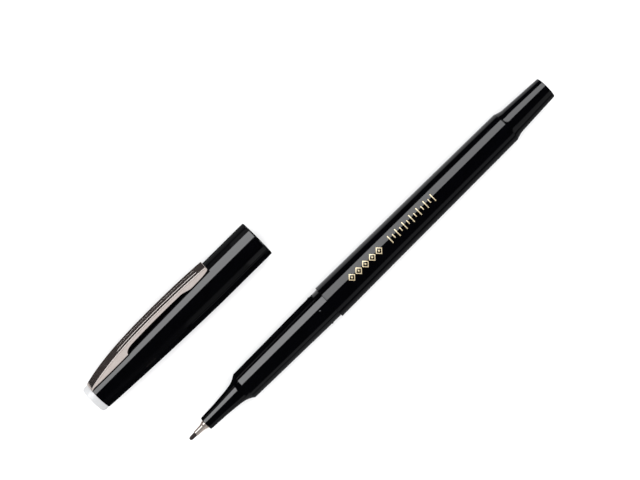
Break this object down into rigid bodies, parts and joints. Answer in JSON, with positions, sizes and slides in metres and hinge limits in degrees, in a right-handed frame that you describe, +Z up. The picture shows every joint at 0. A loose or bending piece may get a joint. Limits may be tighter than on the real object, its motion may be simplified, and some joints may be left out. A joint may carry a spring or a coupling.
{
  "type": "felt tip pen",
  "caption": "Slim felt tip pen with a tapered barrel, concave nose cone and a fibre nib in a metal sleeve, its clip cap pulled off and lying beside it.",
  "frame": {"origin": "middle of the footprint of the pen and its cap together, on the surface that both lie on", "axes": "+X along the pen from the nib to the tail, +Y from the pen towards the cap, +Z up"},
  "size_m": [0.1394, 0.036, 0.0117],
  "materials": {
    "black_plastic": "high gloss, moulded, with fine handling scratches",
    "nib_metal": "drawn tube, bright",
    "nib_fibre": "ink-wet bonded fibre",
    "ink_fibre": "ink-soaked fibre core",
    "clear_film": "thin clear film",
    "white_plastic": "satin white, slightly translucent",
    "liner_plastic": "natural white, matte",
    "clip_metal": "bright pressed steel with two long flutes",
    "gold_foil": "hot-stamped pale gold foil, on the ornament that only the visual model has"
  },
  "bodies": {
    "pen": {"barrel": "black_plastic", "tail_plug": "black_plastic", "grip_section": "black_plastic", "nib_sleeve": "nib_metal", "fibre_nib": "nib_fibre", "ink_reservoir": "ink_fibre", "reservoir_film": "clear_film"},
    "cap": {"cap_shell": "black_plastic", "cap_end_plug": "white_plastic", "inner_cap": "liner_plastic", "clip_ring": "clip_metal"},
    "clip": {"clip_arm": "clip_metal"}
  },
  "joints": [
    {"name": "cap_pull", "type": "slide", "parent": "pen", "child": "cap", "axis": [-0.9385, -0.3453, 0], "range_m": [0, 0.07139]},
    {"name": "clip_flex", "type": "hinge", "parent": "cap", "child": "clip", "pos_m": [-0.06729, 0.01461, 0.00834], "axis": [0, -0.7071, 0.7071], "range_deg": [0, 4], "stiffness_Nm_per_rad": 2.6}
  ]
}
